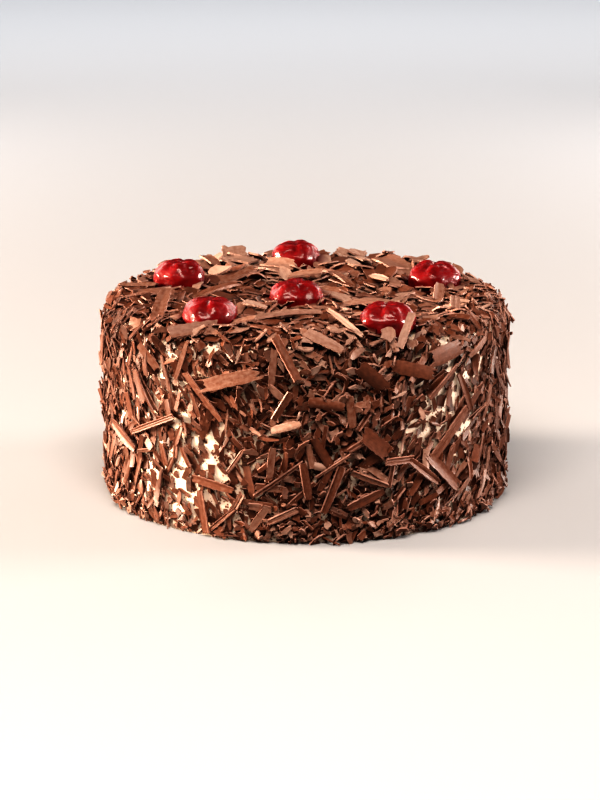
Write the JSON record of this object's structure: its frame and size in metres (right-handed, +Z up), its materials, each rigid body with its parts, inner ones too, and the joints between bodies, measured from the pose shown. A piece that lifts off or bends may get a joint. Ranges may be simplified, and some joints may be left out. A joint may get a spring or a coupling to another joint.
{
  "type": "black forest cake",
  "caption": "Whole round cream-coated cake covered with chocolate shavings, with candied cherries on top.",
  "frame": {"origin": "centre of the flat base, in the plane that the cake stands on", "axes": "+Z up through the cake's middle; -Y is the front, between the two front cherries; +X is to the right seen from the front"},
  "size_m": [0.1879, 0.1894, 0.1013],
  "materials": {
    "chocolate": "satin",
    "cream": "soft whipped",
    "cherry": "glossy, slightly see-through"
  },
  "bodies": {
    "root": {"cake": "chocolate", "cherry_front_left": "cherry", "cherry_front_right": "cherry", "cherry_left": "cherry", "cherry_right": "cherry", "cherry_back": "cherry", "cherry_centre": "cherry", "shaving_front_long": "chocolate", "shaving_left_strip": "chocolate", "shaving_left_leaf": "chocolate", "shaving_left_inner": "chocolate", "shaving_right_inner": "chocolate", "shaving_mid_curl": "chocolate", "shaving_back_right": "chocolate", "shaving_back_strip": "chocolate", "shaving_back_left": "chocolate"}
  },
  "joints": []
}
